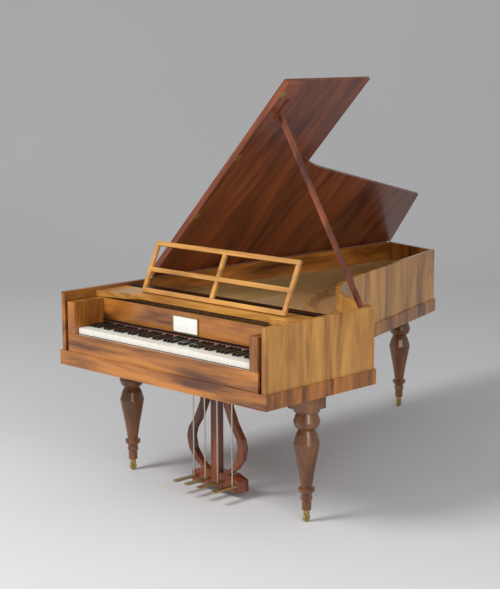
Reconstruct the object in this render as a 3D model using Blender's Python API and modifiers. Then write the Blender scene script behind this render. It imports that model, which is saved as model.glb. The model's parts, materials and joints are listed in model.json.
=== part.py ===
"""A fortepiano with its lid open, as separate named pieces. Metres, +Z up, floor at Z = 0."""
import math

import bmesh
import bpy
import mathutils

# Case: the spine's outer face is at X = 0, the front at Y = 0.
WIDTH = 1.25
SPINE_LENGTH = 2.277
TAIL_X = 0.386
TAIL_DROP = 0.102
TAIL_Y = SPINE_LENGTH - TAIL_DROP
CHEEK_LENGTH = 0.648
BEND_START_DEG = 154.6
BEND_RADIUS = 0.75
WALL = 0.022
CASE_BOTTOM = 0.539
RIM_TOP = 0.865
PLINTH_TOP = 0.603
MOULDING = 0.008
GAP = 0.0003
BOTTOM_THICK = 0.014
# Keyboard
KEY_COUNT = 47
ARM_WIDTH = 0.046
SLOT = 0.020
KEY_SIDE = 0.00355
KEY_PITCH = (WIDTH - 2 * (WALL + SLOT + ARM_WIDTH + KEY_SIDE)) / KEY_COUNT
KEY_FRONT = 0.02
KEY_HEAD = 0.05
KEY_END = 0.29
KEY_PIVOT = 0.28
BALANCE_HALF = 0.006
KEY_DIP = 0.009
KEY_TOP = 0.710
KEY_BOTTOM = 0.685
SHARP_WIDTH = 0.010
SHARP_CLEAR = 0.00035
TAIL_WIDTH = KEY_PITCH - SHARP_WIDTH - 2 * SHARP_CLEAR
SHARP_TOP = 0.722
SHARP_LENGTH = 0.09
SINGLE_KEYS = (21, 22, 23)
NAMEBOARD_Y = 0.165
NAMEBOARD_THICK = 0.014
NAMEBOARD_BOTTOM = 0.724
PLAQUE_WIDTH = 0.146
PLAQUE_LOW = 0.740
PLAQUE_HIGH = 0.805
DESK_TOP = 0.850
DESK_THICK = 0.026
DESK_FRONT = 0.178
DESK_WING = 0.15
DESK_CENTRE_FRONT = 0.255
DESK_BACK = 0.36
BED_THICK = 0.05
BED_TOP = PLINTH_TOP + BED_THICK
# Inside
BELLY_Y = 0.47
BELLY_THICK = 0.02
SOUNDBOARD_TOP = 0.77
SOUNDBOARD_THICK = 0.006
PLANK_FRONT = 0.30
PLANK_TOP = 0.785
PLANK_THICK = 0.045
STRING_Z = 0.80
BRIDGE_WIDTH = 0.014
DAMPER_FRONT = 0.402
DAMPER_BACK = 0.458
DAMPER_LOW = 0.806
DAMPER_TOP = 0.846
# Lid
LID_DEG = 46.25
LID_THICK = 0.014
OVERHANG = 0.006
FOLD_Y = 0.533
PROP_SIDE = 0.018
PROP_FOOT = (WIDTH - 0.037, CHEEK_LENGTH - 0.036, RIM_TOP - 0.013)
PROP_LEAN_DEG = 30.65
PROP_CLEAR = 0.0006
BRACKET_REACH = 0.028
BRACKET_HALF = 0.01
BRACKET_HEIGHT = 0.015
BRACKET_DROP = 0.0049
# Music desk
MUSIC_LEFT = 0.215
MUSIC_RIGHT = WIDTH - 0.164
MUSIC_HEIGHT = 0.238
MUSIC_Y = 0.29
MUSIC_THICK = 0.012
MUSIC_MEMBER = 0.02
MUSIC_LEAN_DEG = 24.5
# Legs
LEG_BLOCK = 0.11
LEG_BLOCK_LOW = 0.479
LEG_SEGMENTS = 32
LEG_INSET = 0.084
LEG_FRONT = 0.327
LEGS = {
    "front_right": (WIDTH - LEG_INSET, LEG_FRONT),
    "front_left": (LEG_INSET, LEG_FRONT),
    "tail": (0.205, SPINE_LENGTH - 0.157),
}
LEG_PROFILE = (
    (0.0545, 0.479), (0.0545, 0.467), (0.044, 0.462), (0.05, 0.446), (0.05625, 0.426), (0.05, 0.406),
    (0.0355, 0.390), (0.045, 0.372), (0.0555, 0.334), (0.048, 0.290), (0.033, 0.215), (0.02375, 0.150),
    (0.0345, 0.1445), (0.0345, 0.1325), (0.022, 0.117), (0.0255, 0.098), (0.0205, 0.092),
    (0.0205, 0.0525),
)
WHEEL_RADIUS = 0.016
WHEEL_WIDTH = 0.012
FORK_WALL = 0.004
FORK_DEPTH = 0.016
FORK_LOW = 0.012
# Lyre and pedals
LYRE_Y = 0.343
LYRE_THICK = 0.028
LYRE_CENTRE = WIDTH / 2
LYRE_ARM = 0.035
LYRE_HALF = ((0.086, 0.5387), (0.080, 0.470), (0.092, 0.400), (0.125, 0.330), (0.166, 0.270),
             (0.176, 0.232), (0.165, 0.180), (0.130, 0.135), (0.080, 0.1003))
COLUMN_WIDTH = 0.05
BASE_HALF = 0.145
BASE_LOW = 0.03
BASE_TOP = 0.10
BASE_DEPTH = 0.06
PEDAL_X = tuple(LYRE_CENTRE + x for x in (-0.108, -0.037, 0.040, 0.130))
PEDAL_TIP = 0.19
PEDAL_WIDTH = 0.024
PEDAL_Z = 0.065
PEDAL_THICK = 0.007
PEDAL_SWING = 0.0003
BASE_SHOULDER = 0.08
BASE_NECK = 0.09
ROD_RADIUS = 0.003
ROD_Y = 0.305

WOOD = (0.36, 0.16, 0.05)
COLOURS = {
    "walnut": (WOOD, 0.28, 0.0),
    "pale_walnut": ((0.45, 0.24, 0.09), 0.3, 0.0),
    "mahogany": ((0.27, 0.09, 0.04), 0.4, 0.0),
    "spruce": ((0.72, 0.5, 0.27), 0.5, 0.0),
    "bone": ((0.85, 0.82, 0.74), 0.3, 0.0),
    "ebony": ((0.015, 0.013, 0.012), 0.2, 0.0),
    "brass": ((0.55, 0.43, 0.17), 0.35, 1.0),
    "white_plate": ((0.88, 0.87, 0.82), 0.3, 0.0),
    "steel": ((0.6, 0.58, 0.52), 0.3, 1.0),
}


def clear_scene():
    for found in list(bpy.data.objects):
        bpy.data.objects.remove(found, do_unlink=True)


def make_collection(name):
    found = bpy.data.collections.new(name)
    bpy.context.scene.collection.children.link(found)
    return found


def material(name):
    found = bpy.data.materials.get(name)
    if found is not None:
        return found
    colour, rough, metal = COLOURS[name]
    found = bpy.data.materials.new(name)
    found.use_nodes = True
    shader = found.node_tree.nodes["Principled BSDF"]
    shader.inputs["Base Color"].default_value = (*colour, 1.0)
    shader.inputs["Roughness"].default_value = rough
    shader.inputs["Metallic"].default_value = metal
    return found


def place(name, mesh, look):
    mesh.materials.clear()
    mesh.materials.append(material(look))
    made = bpy.data.objects.new(name, mesh)
    PART.objects.link(made)
    return made


def box(name, x, y, z, look):
    """A box between the pairs of values x, y and z."""
    mesh = bpy.data.meshes.new(name)
    work = bmesh.new()
    bmesh.ops.create_cube(work, size=1.0)
    size = (x[1] - x[0], y[1] - y[0], z[1] - z[0])
    bmesh.ops.scale(work, vec=size, verts=work.verts)
    work.to_mesh(mesh)
    work.free()
    made = place(name, mesh, look)
    made.location = (sum(x) / 2, sum(y) / 2, sum(z) / 2)
    return made


def slab(name, outlines, low, high, look):
    """A flat piece between two heights from its outline, and further outlines as holes."""
    curve = bpy.data.curves.new(name, "CURVE")
    curve.dimensions = "2D"
    curve.fill_mode = "BOTH"
    curve.extrude = (high - low) / 2
    for points in outlines:
        line = curve.splines.new("POLY")
        line.points.add(len(points) - 1)
        for spot, (x, y) in zip(line.points, points):
            spot.co = (x, y, 0.0, 1.0)
        line.use_cyclic_u = True
    drawn = bpy.data.objects.new(name + ".curve", curve)
    PART.objects.link(drawn)
    bpy.context.view_layer.update()
    mesh = bpy.data.meshes.new_from_object(drawn.evaluated_get(bpy.context.evaluated_depsgraph_get()))
    bpy.data.objects.remove(drawn, do_unlink=True)
    work = bmesh.new()
    work.from_mesh(mesh)
    bmesh.ops.remove_doubles(work, verts=work.verts, dist=1e-6)
    bmesh.ops.translate(work, vec=(0, 0, (low + high) / 2), verts=work.verts)
    bmesh.ops.recalc_face_normals(work, faces=work.faces)
    work.to_mesh(mesh)
    work.free()
    mesh.name = name
    return place(name, mesh, look)


def turned(name, profile, look):
    """A turned piece from its outer side, top to bottom, round the Z axis."""
    points = [(0.0, profile[0][1])] + list(profile) + [(0.0, profile[-1][1])]
    mesh = bpy.data.meshes.new(name)
    work = bmesh.new()
    spots = [work.verts.new((x, 0.0, z)) for x, z in points]
    for first, second in zip(spots, spots[1:]):
        work.edges.new((first, second))
    work.to_mesh(mesh)
    work.free()
    made = place(name, mesh, look)
    screw = made.modifiers.new("turn", "SCREW")
    screw.steps = LEG_SEGMENTS
    screw.render_steps = LEG_SEGMENTS
    screw.use_merge_vertices = True
    screw.merge_threshold = 0.0001
    screw.use_normal_calculate = True
    return made


def rod(name, start, end, radius, look, sides=12):
    """A round bar between two points, with one of its flats turned down."""
    step = [b - a for a, b in zip(start, end)]
    length = math.sqrt(sum(s * s for s in step))
    mesh = bpy.data.meshes.new(name)
    work = bmesh.new()
    corner = radius / math.cos(math.pi / sides)
    bmesh.ops.create_cone(work, cap_ends=True, segments=sides, radius1=corner, radius2=corner, depth=length)
    half_turn = mathutils.Matrix.Rotation(math.pi / sides, 3, "Z")
    bmesh.ops.rotate(work, matrix=half_turn, verts=work.verts)
    work.to_mesh(mesh)
    work.free()
    made = place(name, mesh, look)
    made.location = [(a + b) / 2 for a, b in zip(start, end)]
    made.rotation_euler = (0.0, math.acos(step[2] / length), math.atan2(step[1], step[0]))
    return made


def meet(p, u, q, v):
    """Where the line through p along u meets the line through q along v."""
    cross = u[0] * v[1] - u[1] * v[0]
    t = ((q[0] - p[0]) * v[1] - (q[1] - p[1]) * v[0]) / cross
    return (p[0] + t * u[0], p[1] + t * u[1])


def shift(p, u, inset):
    """The point p moved to the left of the direction u."""
    return (p[0] - u[1] * inset, p[1] + u[0] * inset)


def bend(inset):
    """The bentside's line from the cheek to the tail, inset into the case, with its tail corners."""
    angle = math.radians(BEND_START_DEG)
    first = (math.cos(angle), math.sin(angle))
    tail = (0.0 - TAIL_X, SPINE_LENGTH - TAIL_Y)
    length = math.hypot(*tail)
    tail = (tail[0] / length, tail[1] / length)
    slope = math.radians(106.5)
    last = (math.cos(slope), math.sin(slope))
    corner = (WIDTH, CHEEK_LENGTH)
    end = (TAIL_X, TAIL_Y)
    cross = meet(corner, first, end, last)
    half = (angle - slope) / 2
    mid = (angle + slope) / 2 - math.pi / 2
    reach = BEND_RADIUS / math.cos(half)
    centre = (cross[0] + reach * math.cos(mid), cross[1] + reach * math.sin(mid))
    points = [meet(shift(corner, first, inset), first, (WIDTH - inset, 0.0), (0.0, 1.0))]
    steps = 16
    for i in range(steps + 1):
        at = angle + math.pi / 2 + (slope - angle) * i / steps
        radius = BEND_RADIUS + inset
        points.append((centre[0] + radius * math.cos(at), centre[1] + radius * math.sin(at)))
    points.append(meet(shift(end, last, inset), last, shift(end, tail, inset), tail))
    points.append(meet(shift(end, tail, inset), tail, (inset, 0.0), (0.0, 1.0)))
    return points


def case_outline(inset, front):
    return [(inset, front), (WIDTH - inset, front)] + bend(inset)


def make_case():
    outer = bend(0.0)
    inner = bend(WALL)
    walls = (CASE_BOTTOM, RIM_TOP)
    box("spine", (0, WALL), (0, inner[-1][1]), walls, "walnut")
    box("cheek", (WIDTH - WALL, WIDTH), (0, inner[0][1]), walls, "pale_walnut")
    lifted = [(x, y + GAP) for x, y in (outer[0], inner[0])]
    side = [lifted[0]] + outer[1:-1] + list(reversed(inner[1:-1])) + [lifted[1]]
    slab("bentside", [side], *walls, "pale_walnut")
    tail = [(x, y + GAP) for x, y in (inner[-1], inner[-2], outer[-2], outer[-1])]
    slab("tail_wall", [tail], *walls, "walnut")
    slab("bottom_board", [case_outline(WALL + GAP, GAP)], CASE_BOTTOM, CASE_BOTTOM + BOTTOM_THICK, "mahogany")
    far = bend(-MOULDING)
    near = bend(-3 * GAP)
    ring = [(WIDTH + MOULDING, 0)] + far + [(-MOULDING, 0), (-3 * GAP, 0)]
    ring = ring + list(reversed(near)) + [(WIDTH + 3 * GAP, 0)]
    slab("side_plinth", [ring], CASE_BOTTOM, PLINTH_TOP, "walnut")
    box("front_plinth", (-MOULDING, WIDTH + MOULDING), (-MOULDING, -GAP), (CASE_BOTTOM, PLINTH_TOP), "walnut")


def make_keywell():
    left = WALL + SLOT
    inner = left + ARM_WIDTH
    bed_low = CASE_BOTTOM + BOTTOM_THICK + GAP
    board = (left, WIDTH - left)
    box("lower_front_board", board, (0, 0.014), (bed_low, KEY_BOTTOM - 3 * GAP), "walnut")
    box("key_bed", (WALL + GAP, WIDTH - WALL - GAP), (0.0143, BELLY_Y - GAP), (bed_low, BED_TOP), "mahogany")
    pivot = (KEY_PIVOT - BALANCE_HALF, KEY_PIVOT + BALANCE_HALF)
    box("balance_rail", board, pivot, (BED_TOP + GAP, KEY_BOTTOM - GAP), "spruce")
    arm_low = KEY_BOTTOM - 2 * GAP
    for name, x in (("left_arm", (left, inner)), ("right_arm", (WIDTH - inner, WIDTH - left))):
        box(name, x, (0, NAMEBOARD_Y + NAMEBOARD_THICK), (arm_low, DESK_TOP - DESK_THICK - GAP), "walnut")
    across = (inner + GAP, WIDTH - inner - GAP)
    top = DESK_TOP - DESK_THICK - GAP
    box("nameboard", across, (NAMEBOARD_Y, NAMEBOARD_Y + NAMEBOARD_THICK), (NAMEBOARD_BOTTOM, top), "walnut")
    middle = WIDTH / 2
    plate = (middle - PLAQUE_WIDTH / 2, middle + PLAQUE_WIDTH / 2)
    box("name_plaque", plate, (NAMEBOARD_Y - 0.003, NAMEBOARD_Y - GAP), (PLAQUE_LOW, PLAQUE_HIGH), "white_plate")


def key_polygon(index):
    """Outline of a white key: a broad head and a narrow tail between the black ones."""
    left = WIDTH / 2 - KEY_PITCH * KEY_COUNT / 2 + index * KEY_PITCH
    middle = left + KEY_PITCH / 2
    half = TAIL_WIDTH / 2
    neck = KEY_FRONT + KEY_HEAD
    return (left + GAP, left + KEY_PITCH - GAP, middle - half, middle + half, neck)


def comb(first, last):
    """One outline for the white keys from first to last, joined behind the nameboard."""
    bar = NAMEBOARD_Y + NAMEBOARD_THICK
    points = []
    for i in range(first, last + 1):
        low, high, thin, thick, neck = key_polygon(i)
        points += [(thin, bar), (thin, neck), (low, neck), (low, KEY_FRONT), (high, KEY_FRONT)]
        points += [(high, neck), (thick, neck), (thick, bar)]
    points += [(points[-1][0], KEY_END), (points[0][0], KEY_END)]
    return points


def make_keys():
    heights = (KEY_BOTTOM, KEY_TOP)
    slab("keys_bass", [comb(0, SINGLE_KEYS[0] - 1)], *heights, "bone")
    slab("keys_treble", [comb(SINGLE_KEYS[-1] + 1, KEY_COUNT - 1)], *heights, "bone")
    for index in SINGLE_KEYS:
        slab("key_" + str(index), [comb(index, index)], *heights, "bone")
    start = WIDTH / 2 - KEY_PITCH * KEY_COUNT / 2
    back = KEY_FRONT + KEY_HEAD + GAP
    for gap in range(1, KEY_COUNT):
        if (gap + 3) % 7 in (0, 3):
            continue
        middle = start + gap * KEY_PITCH
        span = (middle - SHARP_WIDTH / 2, middle + SHARP_WIDTH / 2)
        SHARPS.append((span, (back, back + SHARP_LENGTH)))


def make_sharps():
    """The black keys, on one rail that lies under the white ones."""
    low = KEY_BOTTOM - KEY_DIP
    first, last = SHARPS[0][0][0], SHARPS[-1][0][1]
    rail = box("sharps", (first - GAP, last + GAP), (0.08, 0.15), (BED_TOP + GAP, low), "ebony")
    work = bmesh.new()
    for x, y in SHARPS:
        made = bmesh.ops.create_cube(work, size=1.0)["verts"]
        bmesh.ops.scale(work, vec=(x[1] - x[0], y[1] - y[0], SHARP_TOP - low + 0.005), verts=made)
        spot = (sum(x) / 2, sum(y) / 2, (SHARP_TOP + low - 0.005) / 2)
        bmesh.ops.translate(work, vec=spot, verts=made)
    mesh = bpy.data.meshes.new("sharp_bodies")
    work.to_mesh(mesh)
    work.free()
    tool = bpy.data.objects.new("sharp_bodies", mesh)
    CUTTERS.objects.link(tool)
    tool.hide_render = True
    tool.display_type = "WIRE"
    union = rail.modifiers.new("sharps", "BOOLEAN")
    union.operation = "UNION"
    union.solver = "EXACT"
    union.object = tool


def make_inside():
    inside = (WALL + GAP, WIDTH - WALL - GAP)
    bed = CASE_BOTTOM + BOTTOM_THICK + GAP
    under = SOUNDBOARD_TOP - SOUNDBOARD_THICK
    box("belly_rail", inside, (BELLY_Y, BELLY_Y + BELLY_THICK), (bed, under - GAP), "spruce")
    outline = case_outline(WALL + GAP, BELLY_Y)
    slab("soundboard", [outline], under, SOUNDBOARD_TOP, "spruce")
    box("wrest_plank", inside, (PLANK_FRONT, BELLY_Y - GAP), (PLANK_TOP - PLANK_THICK, PLANK_TOP), "pale_walnut")
    inner = bend(0.15)[1:-2]
    outer = bend(0.15 - BRIDGE_WIDTH)[1:-2]
    top = STRING_Z - GAP
    slab("bridge", [outer + list(reversed(inner))], SOUNDBOARD_TOP + GAP, top, "pale_walnut")
    box("damper_rail", (WALL + GAP, WIDTH - WALL - GAP), (DAMPER_FRONT, DAMPER_BACK), (DAMPER_LOW, DAMPER_TOP),
        "ebony")


def desk_outline():
    """Desk board seen from above: wings at both walls, and an ogee back to a straight centre."""
    left = WALL + GAP
    points = [(left, DESK_FRONT)]
    steps = 12
    for i in range(steps + 1):
        share = i / steps
        ease = share * share * (3 - 2 * share)
        x = DESK_WING + 0.1 * share
        points.append((x, 0.21 + (DESK_CENTRE_FRONT - 0.21) * ease))
    mirrored = [(WIDTH - x, y) for x, y in reversed(points)]
    return points + mirrored + [(WIDTH - left, DESK_BACK), (left, DESK_BACK)]


def make_desk():
    slab("desk_board", [desk_outline()], DESK_TOP - DESK_THICK, DESK_TOP, "pale_walnut")
    half = (MUSIC_RIGHT - MUSIC_LEFT) / 2
    m = MUSIC_MEMBER
    frame = [(-half, 0), (half, 0), (half, MUSIC_HEIGHT), (-half, MUSIC_HEIGHT)]
    rail = 0.45 * MUSIC_HEIGHT
    holes = []
    for x in ((-half + m, -m / 2), (m / 2, half - m)):
        for y in ((m, rail - m / 2), (rail + m / 2, MUSIC_HEIGHT - m)):
            holes.append([(x[0], y[0]), (x[0], y[1]), (x[1], y[1]), (x[1], y[0])])
    desk = slab("music_desk", [frame] + holes, 0.0, MUSIC_THICK, "pale_walnut")
    desk.location = ((MUSIC_LEFT + MUSIC_RIGHT) / 2, MUSIC_Y, DESK_TOP + GAP)
    desk.rotation_euler = (math.radians(90 - MUSIC_LEAN_DEG), 0, 0)


def make_lid():
    tilt = math.radians(LID_DEG)
    hinge = (0.0, 0.0, RIM_TOP + GAP)
    outline = case_outline(-OVERHANG, FOLD_Y + GAP)
    outline = [(max(x, 0.0), y) for x, y in outline]
    lid = slab("main_lid", [outline], 0.0, LID_THICK, "mahogany")
    depth = FOLD_Y + OVERHANG
    leaf = [(0, FOLD_Y + GAP), (WIDTH + OVERHANG, FOLD_Y + GAP), (WIDTH + OVERHANG, FOLD_Y + depth),
            (0, FOLD_Y + depth)]
    flap = slab("front_flap", [leaf], LID_THICK + 2 * GAP, 2 * LID_THICK + 2 * GAP, "walnut")
    for piece in (lid, flap):
        piece.location = hinge
        piece.rotation_euler = (0, -tilt, 0)


def prop_length():
    """Length at which the stick's upper corner just clears the lid's underside."""
    tilt = math.radians(LID_DEG)
    apart = math.radians(LID_DEG - PROP_LEAN_DEG)
    rise = PROP_FOOT[2] - RIM_TOP - GAP
    reach = PROP_FOOT[0] * math.sin(tilt) - rise * math.cos(tilt)
    return (reach - PROP_CLEAR - PROP_SIDE / 2 * math.sin(apart)) / math.cos(apart)


def make_prop():
    half = PROP_SIDE / 2
    square = [(-half, -half), (half, -half), (half, half), (-half, half)]
    stick = slab("prop_stick", [square], 0.0, prop_length(), "mahogany")
    stick.location = PROP_FOOT
    stick.rotation_euler = (0, -math.radians(PROP_LEAN_DEG), 0)


def make_leg(name, x, y):
    block = LEG_BLOCK / 2
    box("block_" + name, (x - block, x + block), (y - block, y + block), (LEG_BLOCK_LOW + GAP, CASE_BOTTOM - GAP),
        "walnut")
    leg = turned("leg_" + name, LEG_PROFILE, "walnut")
    leg.location = (x, y, 0)
    top = LEG_PROFILE[-1][1] - GAP
    inner = WHEEL_WIDTH / 2 + GAP
    outer = inner + FORK_WALL
    roof = 2 * WHEEL_RADIUS + GAP
    arch = [(-outer, FORK_LOW), (-inner, FORK_LOW), (-inner, roof), (inner, roof), (inner, FORK_LOW),
            (outer, FORK_LOW), (outer, top), (-outer, top)]
    fork = slab("caster_" + name, [arch], -FORK_DEPTH / 2, FORK_DEPTH / 2, "brass")
    fork.location = (x, y, 0)
    fork.rotation_euler = (math.pi / 2, 0, 0)
    half = WHEEL_WIDTH / 2
    rod("wheel_" + name, (x - half, y, WHEEL_RADIUS), (x + half, y, WHEEL_RADIUS), WHEEL_RADIUS, "brass", 24)


def make_lyre():
    half = LYRE_THICK / 2
    for name, way in (("lyre_arm_left", -1), ("lyre_arm_right", 1)):
        outer = [(way * x, z) for x, z in LYRE_HALF]
        inner = [(way * (x - LYRE_ARM), z) for x, z in reversed(LYRE_HALF)]
        arm = slab(name, [outer + inner], -half, half, "mahogany")
        arm.location = (LYRE_CENTRE, LYRE_Y, 0)
        arm.rotation_euler = (math.pi / 2, 0, 0)
    column = (LYRE_CENTRE - COLUMN_WIDTH / 2, LYRE_CENTRE + COLUMN_WIDTH / 2)
    deep = (LYRE_Y - half, LYRE_Y + half)
    box("lyre_column", column, deep, (BASE_TOP + GAP, CASE_BOTTOM - GAP), "mahogany")
    flare = [(-BASE_HALF, BASE_LOW), (BASE_HALF, BASE_LOW), (BASE_HALF, BASE_SHOULDER), (BASE_NECK, BASE_TOP),
             (-BASE_NECK, BASE_TOP), (-BASE_HALF, BASE_SHOULDER)]
    base = slab("lyre_base", [flare], -BASE_DEPTH, 0.0, "mahogany")
    base.location = (LYRE_CENTRE, LYRE_Y - half, 0)
    base.rotation_euler = (math.pi / 2, 0, 0)
    pivot = LYRE_Y - half - GAP - PEDAL_SWING
    for number, x in enumerate(PEDAL_X, 1):
        high = (PEDAL_Z - PEDAL_THICK / 2, PEDAL_Z + PEDAL_THICK / 2)
        box("pedal_" + str(number), (x - PEDAL_WIDTH / 2, x + PEDAL_WIDTH / 2), (PEDAL_TIP, pivot), high, "brass")
        rod("rod_" + str(number), (x, ROD_Y, high[1] + GAP), (x, ROD_Y, CASE_BOTTOM - GAP), ROD_RADIUS, "steel")


def make_hardware():
    wall = WIDTH - WALL
    seat = PROP_FOOT[2] - BRACKET_DROP
    along = (PROP_FOOT[1] - BRACKET_HALF, PROP_FOOT[1] + BRACKET_HALF)
    box("prop_bracket", (wall - BRACKET_REACH, wall - GAP), along, (seat - BRACKET_HEIGHT, seat), "brass")
    for name, y in (("spine_hinge_front", 0.71), ("spine_hinge_tail", 2.08)):
        box(name, (-0.004, -GAP), (y - 0.03, y + 0.03), (RIM_TOP - 0.035, RIM_TOP - GAP), "brass")


SHARPS = []
clear_scene()
PART = make_collection("fortepiano")
CUTTERS = make_collection("cutters")
make_case()
make_keywell()
make_keys()
make_sharps()
make_inside()
make_desk()
make_lid()
make_prop()
for leg_name, (leg_x, leg_y) in LEGS.items():
    make_leg(leg_name, leg_x, leg_y)
make_lyre()
make_hardware()


def centre_on_floor():
    """Moves the whole instrument so that the middle of its box is over the origin."""
    bpy.context.view_layer.update()
    graph = bpy.context.evaluated_depsgraph_get()
    spots = []
    for found in PART.objects:
        for corner in found.evaluated_get(graph).bound_box:
            spots.append(found.matrix_world @ mathutils.Vector(corner))
    middle = [(min(s[i] for s in spots) + max(s[i] for s in spots)) / 2 for i in (0, 1)]
    for found in list(PART.objects) + list(CUTTERS.objects):
        found.location.x -= middle[0]
        found.location.y -= middle[1]


centre_on_floor()
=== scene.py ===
"""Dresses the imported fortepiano: woods, strings, tuning pins, trim, fittings and studio."""
import json
import math

import bmesh
import bpy
from mathutils import Matrix, Vector


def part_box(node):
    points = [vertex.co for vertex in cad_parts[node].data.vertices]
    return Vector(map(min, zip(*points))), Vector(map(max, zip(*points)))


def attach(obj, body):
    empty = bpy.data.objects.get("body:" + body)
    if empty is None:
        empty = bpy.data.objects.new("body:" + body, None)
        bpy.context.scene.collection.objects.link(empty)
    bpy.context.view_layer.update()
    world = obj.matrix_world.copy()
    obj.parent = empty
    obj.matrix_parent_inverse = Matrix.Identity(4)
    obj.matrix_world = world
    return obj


bl_info = {
    "name": "Fortepiano",
    "version": (1, 0, 0),
    "blender": (4, 5, 0),
    "location": "View3D > Sidebar > Fortepiano",
    "description": "Builds the looks of a fortepiano round its solids",
    "category": "Add Mesh",
}

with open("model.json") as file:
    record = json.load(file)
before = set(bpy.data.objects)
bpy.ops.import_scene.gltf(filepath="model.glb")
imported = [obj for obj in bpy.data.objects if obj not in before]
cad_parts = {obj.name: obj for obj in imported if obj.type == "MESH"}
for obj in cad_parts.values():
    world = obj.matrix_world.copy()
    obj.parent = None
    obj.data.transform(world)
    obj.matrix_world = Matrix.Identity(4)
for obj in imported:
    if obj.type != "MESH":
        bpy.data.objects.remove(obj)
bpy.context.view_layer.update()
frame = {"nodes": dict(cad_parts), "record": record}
# Each wood: dark colour, light colour, scale of its streaks, lowest roughness.
WOODS = {
    "walnut": ((0.085, 0.022, 0.004), (0.50, 0.18, 0.026), 24.0, 0.2),
    "pale_walnut": ((0.26, 0.10, 0.018), (0.68, 0.33, 0.068), 18.0, 0.22),
    "leg_walnut": ((0.10, 0.033, 0.009), (0.27, 0.11, 0.032), 30.0, 0.16),
    "mahogany": ((0.07, 0.013, 0.005), (0.27, 0.065, 0.018), 40.0, 0.3),
    "spruce": ((0.42, 0.23, 0.08), (0.60, 0.38, 0.16), 90.0, 0.45),
}
# Each plain finish: colour, roughness, metallic, scale of its unevenness.
PLAIN = {
    "bone": ((0.80, 0.78, 0.70), 0.28, 0.0, 40.0),
    "ebony": ((0.012, 0.010, 0.009), 0.16, 0.0, 60.0),
    "brass": ((0.50, 0.38, 0.14), 0.32, 1.0, 80.0),
    "white_plate": ((0.86, 0.85, 0.80), 0.3, 0.0, 30.0),
    "steel": ((0.58, 0.55, 0.48), 0.3, 1.0, 120.0),
    "felt": ((0.42, 0.02, 0.02), 0.95, 0.0, 500.0),
    "backdrop": ((0.62, 0.62, 0.63), 0.95, 0.0, 0.2),
}
FIGURE_SCALE = 5.0
FIGURE_DETAIL = 6.0
FIGURE_DISTORTION = 2.4
STREAK_DETAIL = 8.0
STREAK_ROUGHNESS = 0.65
STREAK_SHARE = 0.35
DARK_BELOW = 0.39
LIGHT_ABOVE = 0.61
PORE_STRENGTH = 0.06
PORE_DEPTH = 0.001
POLISH = 0.35
POLISH_ROUGHNESS = 0.12
TONE_DETAIL = 5.0
TONE_DARKEST = 0.86
TONE_LIGHTEST = 1.08
GLOSS_SMOOTHEST = 0.85
GLOSS_ROUGHEST = 1.2
SOFT_EDGE = 0.0008
# The grain runs along the axis whose scale is small.
UPRIGHT = (1.0, 1.0, 0.14)
ALONG_X = (0.14, 1.0, 1.0)
ALONG_Y = (1.0, 0.14, 1.0)
# Solids whose grain runs from side to side.
SIDEWAYS_GRAIN = (
    "front_plinth",
    "lower_front_board",
    "nameboard",
    "desk_board",
    "music_desk",
    "wrest_plank",
)
LID_DEG = 46.25
LID_HINGE_Z = 0.8653
# Strings and pins: the margin and both starts are from the case's front corner, bass side.
STRING_MARGIN = 0.075
STRING_SPREAD = 1.09
STRING_START = 0.48
STRING_STEP = 0.01
BASS_LEAN = 0.085
BASS_SHARE = 0.4
RIM_MARGIN = 0.02
SPINE_MARGIN = 0.01
SHORTEST_STRING = 0.05
STRING_SIDES = 5
PAIR_HALF = 0.0015
PIN_START = 0.372
PIN_ROW_STEP = 0.014
PIN_SUNK = 0.002
PIN_SIDES = 8
# Trim of the nameboard.
FRAME_PROUD = 0.002
BATTEN_PROUD = 0.004
BATTEN_HEIGHT = 0.010
CLOTH_PROUD = 0.0035
CLOTH_BELOW = 0.0012
CLOTH_GAP = 0.0001
CLOTH_BEVEL = 0.0003
# Fittings: the catch's Y is from the case's corner and its Z from the floor. The fold
# hinges and the prop stop are placed as on the closed lid, from its hinge line.
CATCH_Y = (0.08, 0.095)
CATCH_Z = (0.825, 0.845)
CATCH_THICK = 0.003
FOLD_HINGES = (0.429, 0.808, 1.193)
FOLD_HINGE_HALF = 0.018
FOLD_HINGE_Y = (0.5335, 0.560)
FOLD_HINGE_THICK = 0.0012
STOP_LOW = (1.045, 0.596, -0.008)
STOP_HIGH = (1.160, 0.612, 0.0)
STOP_BEVEL = 0.002
# Studio.
SWEEP_NEAR = -14.0
SWEEP_FLAT = 5.0
SWEEP_RADIUS = 5.0
SWEEP_TOP = 16.0
SWEEP_HALF = 20.0
SWEEP_STEPS = 24
WORLD_COLOUR = (0.82, 0.82, 0.82, 1.0)
WORLD_STRENGTH = 0.6
LIGHT_AIM = (0, 0, 0.8)
# Each light: name, place, watts, side.
LIGHTS = (
    ("key", (-1.5, -5.5, 4.8), 330.0, 2.2),
    ("fill", (4.5, -3.0, 3.0), 110.0, 3.0),
)
CAMERA_AZIMUTH = 44.59
CAMERA_TILT = 80.31
CAMERA_ROLL = -0.19
CAMERA_LENS = 90.0
CAMERA_SENSOR = 36.0
CAMERA_REACH = 200.0
CAMERA_FROM_CORNER = (5.0822, -3.9719, 1.9392)


class FortepianoSettings(bpy.types.PropertyGroup):
    """Counts, sizes and the polish unevenness that can be changed before the pieces are built."""

    string_pairs: bpy.props.IntProperty(name="String pairs", default=61, min=10, max=90)
    string_radius: bpy.props.FloatProperty(name="String radius", default=0.0004, min=0.0002)
    string_height: bpy.props.FloatProperty(name="String height", default=0.8008)
    pin_radius: bpy.props.FloatProperty(name="Tuning pin radius", default=0.0025)
    pin_height: bpy.props.FloatProperty(name="Tuning pin height", default=0.022)
    frame_width: bpy.props.FloatProperty(name="Plaque frame width", default=0.006)
    wear: bpy.props.FloatProperty(name="Polish unevenness", default=0.12, min=0.0, max=1.0)


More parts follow.
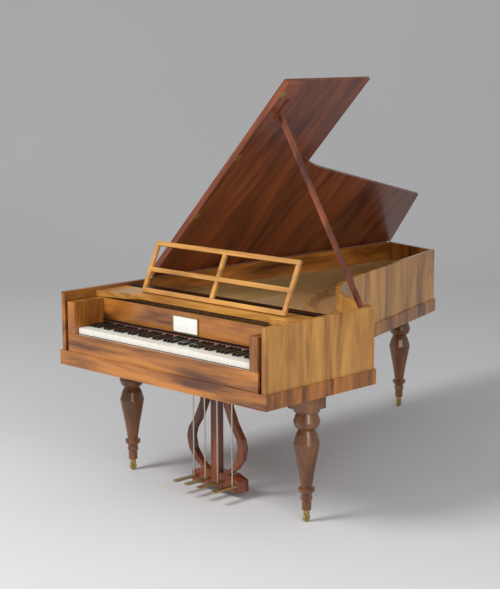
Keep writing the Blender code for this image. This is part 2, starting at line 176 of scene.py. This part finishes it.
def corner():
    """Where the case's front corner on the bass side lies, from the spine's solid."""
    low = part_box("spine")[0]
    return Vector((low[0], low[1], 0.0))


def grain_group():
    """A shader group for wood: streaks along one axis, with figure, giving a mask."""
    group = bpy.data.node_groups.get("wood_grain")
    if group is not None:
        return group
    group = bpy.data.node_groups.new("wood_grain", "ShaderNodeTree")
    side = group.interface
    side.new_socket("Vector", in_out="INPUT", socket_type="NodeSocketVector")
    side.new_socket("Scale", in_out="INPUT", socket_type="NodeSocketFloat")
    side.new_socket("Mask", in_out="OUTPUT", socket_type="NodeSocketFloat")
    side.new_socket("Pores", in_out="OUTPUT", socket_type="NodeSocketFloat")
    nodes = group.nodes
    links = group.links
    given = nodes.new("NodeGroupInput")
    out = nodes.new("NodeGroupOutput")
    figure = nodes.new("ShaderNodeTexNoise")
    figure.inputs["Scale"].default_value = FIGURE_SCALE
    figure.inputs["Detail"].default_value = FIGURE_DETAIL
    figure.inputs["Distortion"].default_value = FIGURE_DISTORTION
    streak = nodes.new("ShaderNodeTexNoise")
    streak.inputs["Detail"].default_value = STREAK_DETAIL
    streak.inputs["Roughness"].default_value = STREAK_ROUGHNESS
    mix = nodes.new("ShaderNodeMix")
    mix.inputs["Factor"].default_value = STREAK_SHARE
    links.new(given.outputs["Vector"], figure.inputs["Vector"])
    links.new(given.outputs["Vector"], streak.inputs["Vector"])
    links.new(given.outputs["Scale"], streak.inputs["Scale"])
    links.new(figure.outputs["Fac"], mix.inputs["A"])
    links.new(streak.outputs["Fac"], mix.inputs["B"])
    links.new(mix.outputs["Result"], out.inputs["Mask"])
    links.new(streak.outputs["Fac"], out.inputs["Pores"])
    return group


def wood(name, stretch, tilt=0.0):
    """A polished wood whose grain runs along the axis that stretch holds back."""
    full = name + "_" + "_".join(str(int(s * 100)) for s in (*stretch, tilt))
    made = bpy.data.materials.get(full)
    if made is not None:
        return made
    dark, light, scale, rough = WOODS[name]
    made = bpy.data.materials.new(full)
    made.use_nodes = True
    nodes = made.node_tree.nodes
    links = made.node_tree.links
    shader = nodes["Principled BSDF"]
    place = nodes.new("ShaderNodeTexCoord")
    mapping = nodes.new("ShaderNodeMapping")
    mapping.inputs["Scale"].default_value = stretch
    group = nodes.new("ShaderNodeGroup")
    group.node_tree = grain_group()
    group.inputs["Scale"].default_value = scale
    ramp = nodes.new("ShaderNodeValToRGB")
    ramp.color_ramp.elements[0].position = DARK_BELOW
    ramp.color_ramp.elements[1].position = LIGHT_ABOVE
    ramp.color_ramp.elements[0].color = (*dark, 1.0)
    ramp.color_ramp.elements[1].color = (*light, 1.0)
    gloss = nodes.new("ShaderNodeMapRange")
    wear = bpy.context.scene.fortepiano.wear
    gloss.inputs["To Min"].default_value = rough
    gloss.inputs["To Max"].default_value = rough + wear
    bump = nodes.new("ShaderNodeBump")
    bump.inputs["Strength"].default_value = PORE_STRENGTH
    bump.inputs["Distance"].default_value = PORE_DEPTH
    lean = nodes.new("ShaderNodeMapping")
    lean.inputs["Rotation"].default_value = (0.0, math.radians(tilt), 0.0)
    links.new(place.outputs["Object"], lean.inputs["Vector"])
    links.new(lean.outputs["Vector"], mapping.inputs["Vector"])
    links.new(mapping.outputs["Vector"], group.inputs["Vector"])
    links.new(group.outputs["Mask"], ramp.inputs["Fac"])
    links.new(ramp.outputs["Color"], shader.inputs["Base Color"])
    links.new(group.outputs["Pores"], gloss.inputs["Value"])
    links.new(gloss.outputs["Result"], shader.inputs["Roughness"])
    links.new(group.outputs["Pores"], bump.inputs["Height"])
    links.new(bump.outputs["Normal"], shader.inputs["Normal"])
    shader.inputs["Coat Weight"].default_value = POLISH
    shader.inputs["Coat Roughness"].default_value = POLISH_ROUGHNESS
    return made


def plain(name):
    """A plain material with a slightly uneven tone and gloss."""
    made = bpy.data.materials.get("plain_" + name)
    if made is not None:
        return made
    colour, rough, metal, scale = PLAIN[name]
    made = bpy.data.materials.new("plain_" + name)
    made.use_nodes = True
    nodes = made.node_tree.nodes
    links = made.node_tree.links
    shader = nodes["Principled BSDF"]
    place = nodes.new("ShaderNodeTexCoord")
    noise = nodes.new("ShaderNodeTexNoise")
    noise.inputs["Scale"].default_value = scale
    noise.inputs["Detail"].default_value = TONE_DETAIL
    ramp = nodes.new("ShaderNodeValToRGB")
    darker = [c * TONE_DARKEST for c in colour]
    lighter = [min(1.0, c * TONE_LIGHTEST) for c in colour]
    ramp.color_ramp.elements[0].color = (*darker, 1.0)
    ramp.color_ramp.elements[1].color = (*lighter, 1.0)
    gloss = nodes.new("ShaderNodeMapRange")
    gloss.inputs["To Min"].default_value = rough * GLOSS_SMOOTHEST
    gloss.inputs["To Max"].default_value = min(1.0, rough * GLOSS_ROUGHEST)
    links.new(place.outputs["Object"], noise.inputs["Vector"])
    links.new(noise.outputs["Fac"], ramp.inputs["Fac"])
    links.new(ramp.outputs["Color"], shader.inputs["Base Color"])
    links.new(noise.outputs["Fac"], gloss.inputs["Value"])
    links.new(gloss.outputs["Result"], shader.inputs["Roughness"])
    shader.inputs["Metallic"].default_value = metal
    return made


def finished(name, work, look, body):
    """Makes a piece from a bmesh that is already in world metres."""
    bmesh.ops.recalc_face_normals(work, faces=work.faces)
    mesh = bpy.data.meshes.new(name)
    work.to_mesh(mesh)
    work.free()
    mesh.materials.append(look)
    made = bpy.data.objects.new(name, mesh)
    bpy.context.scene.collection.objects.link(made)
    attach(made, body)
    return made


def add_bar(work, start, end, radius, sides):
    """A closed round bar between two points."""
    start = Vector(start)
    end = Vector(end)
    step = end - start
    turn = Vector((0, 0, 1)).rotation_difference(step).to_matrix().to_4x4()
    place = Matrix.Translation((start + end) / 2) @ turn
    bmesh.ops.create_cone(
        work,
        cap_ends=True,
        segments=sides,
        radius1=radius,
        radius2=radius,
        depth=step.length,
        matrix=place,
    )


def add_box(work, low, high, bevel=SOFT_EDGE):
    """A box between two corners, its edges softened."""
    low = Vector(low)
    high = Vector(high)
    made = bmesh.ops.create_cube(work, size=1.0)["verts"]
    bmesh.ops.scale(work, vec=high - low, verts=made)
    bmesh.ops.translate(work, vec=(low + high) / 2, verts=made)
    edges = {edge for vert in made for edge in vert.link_edges}
    bmesh.ops.bevel(work, geom=list(edges), offset=bevel, segments=2, affect="EDGES", profile=0.5)


def rim_reach():
    """A function that gives the bentside's inner X at a Y, from the soundboard's outline."""
    board = frame["nodes"]["soundboard"]
    spots = [board.matrix_world @ vert.co for vert in board.data.vertices]
    inner = min(s.x for s in spots) + SPINE_MARGIN
    spots = sorted({(round(s.y, 5), round(s.x, 5)) for s in spots if s.x > inner})

    def reach(y):
        for (y0, x0), (y1, x1) in zip(spots, spots[1:]):
            if y0 <= y <= y1 and y1 > y0:
                return x0 + (x1 - x0) * (y - y0) / (y1 - y0)
        return None

    return reach


class FORTEPIANO_OT_finishes(bpy.types.Operator):
    """Gives every solid of the case its wood, metal or other finish"""

    bl_idname = "fortepiano.finishes"
    bl_label = "Finishes"

    def execute(self, context):
        slots = {item["node"]: item["material_slot"] for item in frame["record"]["subparts"]}
        runs = {"spine": ALONG_Y, "soundboard": ALONG_Y, "main_lid": ALONG_X}
        for name in SIDEWAYS_GRAIN:
            runs[name] = ALONG_X
        for name, piece in frame["nodes"].items():
            look = slots[name]
            if name.startswith("leg_") or name.startswith("block_"):
                chosen = wood("leg_walnut", UPRIGHT)
            elif name == "front_flap":
                chosen = wood("mahogany", ALONG_X, LID_DEG)
            elif look in WOODS:
                tilt = LID_DEG if name == "main_lid" else 0.0
                chosen = wood(look, runs.get(name, UPRIGHT), tilt)
            else:
                chosen = plain(look)
            piece.data.materials.clear()
            piece.data.materials.append(chosen)
        return {"FINISHED"}


class FORTEPIANO_OT_strings(bpy.types.Operator):
    """Pairs of strings from behind the damper rail to near the bentside and the tail"""

    bl_idname = "fortepiano.strings"
    bl_label = "Strings"

    def execute(self, context):
        settings = context.scene.fortepiano
        reach = rim_reach()
        start = corner()
        brass = bmesh.new()
        steel = bmesh.new()
        count = settings.string_pairs
        for i in range(count):
            share = i / (count - 1)
            x = start.x + STRING_MARGIN + STRING_SPREAD * share
            lean = BASS_LEAN * (1 - share)
            y = start.y + STRING_START
            end = y
            while True:
                limit = reach(end + STRING_STEP)
                if limit is None or x + lean * (end - y) > limit - RIM_MARGIN:
                    break
                end += STRING_STEP
            if end - y < SHORTEST_STRING:
                continue
            work = brass if share < BASS_SHARE else steel
            for side in (-PAIR_HALF, PAIR_HALF):
                first = (x + side, y, settings.string_height)
                last = (x + side + lean * (end - y), end, settings.string_height)
                add_bar(work, first, last, settings.string_radius, STRING_SIDES)
        finished("strings_bass", brass, plain("brass"), "case")
        finished("strings_treble", steel, plain("steel"), "case")
        return {"FINISHED"}


class FORTEPIANO_OT_tuning_pins(bpy.types.Operator):
    """Rows of tuning pins on the wrest plank, behind the desk board"""

    bl_idname = "fortepiano.tuning_pins"
    bl_label = "Tuning pins"

    def execute(self, context):
        settings = context.scene.fortepiano
        start = corner()
        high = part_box("wrest_plank")[1]
        work = bmesh.new()
        for row in range(2):
            for i in range(settings.string_pairs):
                along = STRING_SPREAD * (i + 0.5 * row) / settings.string_pairs
                x = start.x + STRING_MARGIN + along
                foot = (x, start.y + PIN_START + PIN_ROW_STEP * row, high[2] - PIN_SUNK)
                head = (foot[0], foot[1], foot[2] + settings.pin_height)
                add_bar(work, foot, head, settings.pin_radius, PIN_SIDES)
        finished("tuning_pins", work, plain("steel"), "case")
        return {"FINISHED"}


class FORTEPIANO_OT_nameboard_trim(bpy.types.Operator):
    """The plaque's gilt frame, the red cloth line and the black strip under the nameboard"""

    bl_idname = "fortepiano.nameboard_trim"
    bl_label = "Nameboard trim"

    def execute(self, context):
        wide = context.scene.fortepiano.frame_width
        low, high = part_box("name_plaque")
        front = low[1] - FRAME_PROUD
        back = high[1]
        work = bmesh.new()
        add_box(work, (low[0] - wide, front, high[2]), (high[0] + wide, back, high[2] + wide))
        add_box(work, (low[0] - wide, front, low[2] - wide), (high[0] + wide, back, low[2]))
        add_box(work, (low[0] - wide, front, low[2]), (low[0], back, high[2]))
        add_box(work, (high[0], front, low[2]), (high[0] + wide, back, high[2]))
        finished("plaque_frame", work, plain("brass"), "case")
        low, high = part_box("nameboard")
        work = bmesh.new()
        foot = (low[0], low[1] - BATTEN_PROUD, low[2])
        add_box(work, foot, (high[0], low[1], low[2] + BATTEN_HEIGHT))
        finished("black_batten", work, plain("ebony"), "case")
        work = bmesh.new()
        foot = (low[0], low[1] - CLOTH_PROUD, low[2] - CLOTH_BELOW)
        add_box(work, foot, (high[0], low[1], low[2] - CLOTH_GAP), CLOTH_BEVEL)
        finished("red_cloth", work, plain("felt"), "case")
        return {"FINISHED"}


class FORTEPIANO_OT_fittings(bpy.types.Operator):
    """The brass catch on the spine, the fold hinges and the prop stop under the lid"""

    bl_idname = "fortepiano.fittings"
    bl_label = "Fittings"

    def execute(self, context):
        start = corner()
        work = bmesh.new()
        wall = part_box("spine")[1][0]
        low = (wall, start.y + CATCH_Y[0], CATCH_Z[0])
        add_box(work, low, (wall + CATCH_THICK, start.y + CATCH_Y[1], CATCH_Z[1]))
        finished("brass_fittings", work, plain("brass"), "case")
        lid = Matrix.Translation(start + Vector((0, 0, LID_HINGE_Z)))
        lid = lid @ Matrix.Rotation(math.radians(-LID_DEG), 4, "Y")
        work = bmesh.new()
        for reach in FOLD_HINGES:
            low = (reach - FOLD_HINGE_HALF, FOLD_HINGE_Y[0], -FOLD_HINGE_THICK)
            add_box(work, low, (reach + FOLD_HINGE_HALF, FOLD_HINGE_Y[1], 0.0))
        bmesh.ops.transform(work, matrix=lid, verts=work.verts)
        finished("fold_hinges", work, plain("brass"), "lid")
        work = bmesh.new()
        add_box(work, STOP_LOW, STOP_HIGH, STOP_BEVEL)
        bmesh.ops.transform(work, matrix=lid, verts=work.verts)
        finished("prop_stop", work, wood("mahogany", ALONG_X), "lid")
        return {"FINISHED"}


class FORTEPIANO_OT_studio(bpy.types.Operator):
    """Pale sweep, soft lights and the camera at the photograph's angle"""

    bl_idname = "fortepiano.studio"
    bl_label = "Studio"

    def execute(self, context):
        scene = context.scene
        scene.view_settings.view_transform = "Standard"
        work = bmesh.new()
        profile = [(SWEEP_NEAR, 0.0), (SWEEP_FLAT, 0.0)]
        for i in range(1, SWEEP_STEPS + 1):
            angle = math.pi / 2 * i / SWEEP_STEPS
            along = SWEEP_FLAT + SWEEP_RADIUS * math.sin(angle)
            profile.append((along, SWEEP_RADIUS - SWEEP_RADIUS * math.cos(angle)))
        profile.append((SWEEP_FLAT + SWEEP_RADIUS, SWEEP_TOP))
        sides = (-SWEEP_HALF, SWEEP_HALF)
        rows = [[work.verts.new((side, y, z)) for side in sides] for y, z in profile]
        for near, far in zip(rows, rows[1:]):
            work.faces.new((near[0], near[1], far[1], far[0]))
        for face in work.faces:
            face.smooth = True
        sweep = Matrix.Rotation(math.radians(CAMERA_AZIMUTH), 4, "Z")
        bmesh.ops.transform(work, matrix=sweep, verts=work.verts)
        mesh = bpy.data.meshes.new("floor")
        work.to_mesh(mesh)
        work.free()
        mesh.materials.append(plain("backdrop"))
        floor = bpy.data.objects.new("floor", mesh)
        scene.collection.objects.link(floor)
        world = bpy.data.worlds.new("studio")
        world.use_nodes = True
        background = world.node_tree.nodes["Background"]
        background.inputs["Color"].default_value = WORLD_COLOUR
        background.inputs["Strength"].default_value = WORLD_STRENGTH
        scene.world = world
        for name, spot, power, size in LIGHTS:
            data = bpy.data.lights.new(name, "AREA")
            data.energy = power
            data.size = size
            lamp = bpy.data.objects.new(name, data)
            scene.collection.objects.link(lamp)
            lamp.location = spot
            toward = Vector(LIGHT_AIM) - Vector(spot)
            lamp.rotation_euler = toward.to_track_quat("-Z", "Y").to_euler()
        data = bpy.data.cameras.new("camera")
        data.lens = CAMERA_LENS
        data.sensor_width = CAMERA_SENSOR
        data.clip_end = CAMERA_REACH
        camera = bpy.data.objects.new("camera", data)
        scene.collection.objects.link(camera)
        turn = Matrix.Rotation(math.radians(CAMERA_AZIMUTH), 4, "Z")
        turn = turn @ Matrix.Rotation(math.radians(CAMERA_TILT), 4, "X")
        turn = turn @ Matrix.Rotation(math.radians(CAMERA_ROLL), 4, "Z")
        camera.matrix_world = Matrix.Translation(corner() + Vector(CAMERA_FROM_CORNER)) @ turn
        scene.camera = camera
        return {"FINISHED"}


class FORTEPIANO_PT_panel(bpy.types.Panel):
    """Sidebar panel with the settings and a button for each group of pieces"""

    bl_idname = "FORTEPIANO_PT_panel"
    bl_label = "Fortepiano"
    bl_space_type = "VIEW_3D"
    bl_region_type = "UI"
    bl_category = "Fortepiano"

    def draw(self, context):
        for name in FortepianoSettings.__annotations__:
            self.layout.prop(context.scene.fortepiano, name)
        for step in STEPS:
            self.layout.operator(step.bl_idname)


STEPS = (
    FORTEPIANO_OT_finishes,
    FORTEPIANO_OT_strings,
    FORTEPIANO_OT_tuning_pins,
    FORTEPIANO_OT_nameboard_trim,
    FORTEPIANO_OT_fittings,
    FORTEPIANO_OT_studio,
)
CLASSES = (FortepianoSettings,) + STEPS + (FORTEPIANO_PT_panel,)


def register():
    for made in CLASSES:
        bpy.utils.register_class(made)
    bpy.types.Scene.fortepiano = bpy.props.PointerProperty(type=FortepianoSettings)


def unregister():
    del bpy.types.Scene.fortepiano
    for made in reversed(CLASSES):
        bpy.utils.unregister_class(made)


def main():
    register()
    bpy.ops.fortepiano.finishes()
    bpy.ops.fortepiano.strings()
    bpy.ops.fortepiano.tuning_pins()
    bpy.ops.fortepiano.nameboard_trim()
    bpy.ops.fortepiano.fittings()
    bpy.ops.fortepiano.studio()


if __name__ == "__main__":
    main()
